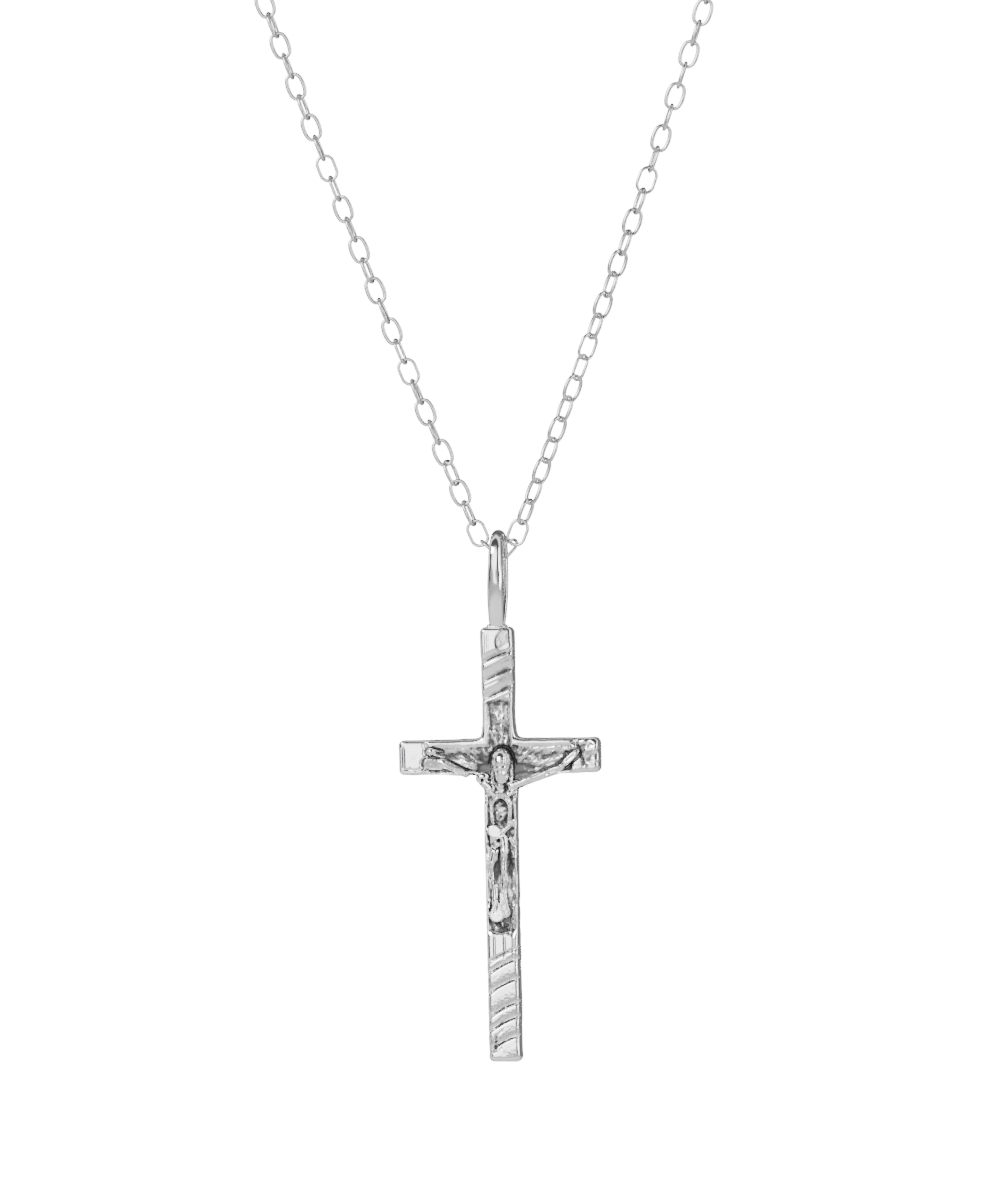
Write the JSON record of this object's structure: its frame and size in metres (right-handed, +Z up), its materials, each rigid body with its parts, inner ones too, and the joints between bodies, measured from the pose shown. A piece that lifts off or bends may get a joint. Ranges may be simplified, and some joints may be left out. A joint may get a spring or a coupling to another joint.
{
  "type": "crucifix pendant on chain",
  "caption": "Cast silver crucifix pendant with faceted cross, applied figure and teardrop bail, hanging on an oval link chain with spring ring clasp and end tab",
  "frame": {"origin": "level with the end tab's hole, midway between the clasp and the end tab, on the chain's centre plane", "axes": "+Z up along the hanging pendant, the front faces -Y, +X to the viewer's right"},
  "size_m": [0.0379, 0.0034, 0.0849],
  "materials": {
    "cut_silver": "mirror-bright cut flats with a fine cast grain in the ground",
    "cast_silver": "bright cast silver, fine grain in the hollows",
    "polished_silver": "polished",
    "chain_silver": "polished drawn wire",
    "spring_steel": "bright drawn wire"
  },
  "bodies": {
    "end_fittings": {"clasp_body": "polished_silver", "clasp_eyelet": "polished_silver", "clasp_spring": "spring_steel", "end_tab": "polished_silver"},
    "clasp_trigger": {"clasp_trigger": "polished_silver"},
    "chain_upper": {"links_19": "chain_silver", "links_20": "chain_silver", "links_21": "chain_silver", "links_22": "chain_silver", "links_23": "chain_silver", "links_24": "chain_silver", "links_25": "chain_silver", "links_26": "chain_silver", "links_27": "chain_silver", "links_28": "chain_silver", "jump_ring_left": "polished_silver", "jump_ring_right": "polished_silver"},
    "chain_middle": {"links_10": "chain_silver", "links_11": "chain_silver", "links_12": "chain_silver", "links_13": "chain_silver", "links_14": "chain_silver", "links_15": "chain_silver", "links_16": "chain_silver", "links_17": "chain_silver", "links_18": "chain_silver"},
    "chain_lower": {"links_01": "chain_silver", "links_02": "chain_silver", "links_03": "chain_silver", "links_04": "chain_silver", "links_05": "chain_silver", "links_06": "chain_silver", "links_07": "chain_silver", "links_08": "chain_silver", "links_09": "chain_silver"},
    "bail_links": {"link_centre_a": "chain_silver", "link_centre_b": "chain_silver"},
    "pendant": {"cross": "cut_silver", "corpus": "cast_silver", "bail": "polished_silver"}
  },
  "joints": [
    {"name": "clasp_trigger_slide", "type": "hinge", "parent": "end_fittings", "child": "clasp_trigger", "pos_m": [-0.01686, 0, 0.00056], "axis": [0, -1, 0], "range_deg": [0, 54], "stiffness_Nm_per_rad": 0.00002, "springref_deg": -57.3, "deforming": ["clasp_spring"]},
    {"name": "chain_swing", "type": "hinge", "parent": "end_fittings", "child": "chain_upper", "pos_m": [0, 0, -0.00336], "axis": [1, 0, 0], "range_deg": [-35, 35]},
    {"name": "chain_fold_upper", "type": "hinge", "parent": "chain_upper", "child": "chain_middle", "pos_m": [0, 0, -0.01944], "axis": [1, 0, 0], "range_deg": [-30, 30]},
    {"name": "chain_fold_lower", "type": "hinge", "parent": "chain_middle", "child": "chain_lower", "pos_m": [0, 0, -0.03222], "axis": [1, 0, 0], "range_deg": [-30, 30]},
    {"name": "pendant_swing", "type": "hinge", "parent": "chain_lower", "child": "bail_links", "pos_m": [0, 0, -0.04489], "axis": [1, 0, 0], "range_deg": [-35, 35]},
    {"name": "pendant_tilt", "type": "hinge", "parent": "bail_links", "child": "pendant", "pos_m": [0, 0, -0.04464], "axis": [0, 1, 0], "range_deg": [-12, 12]}
  ]
}
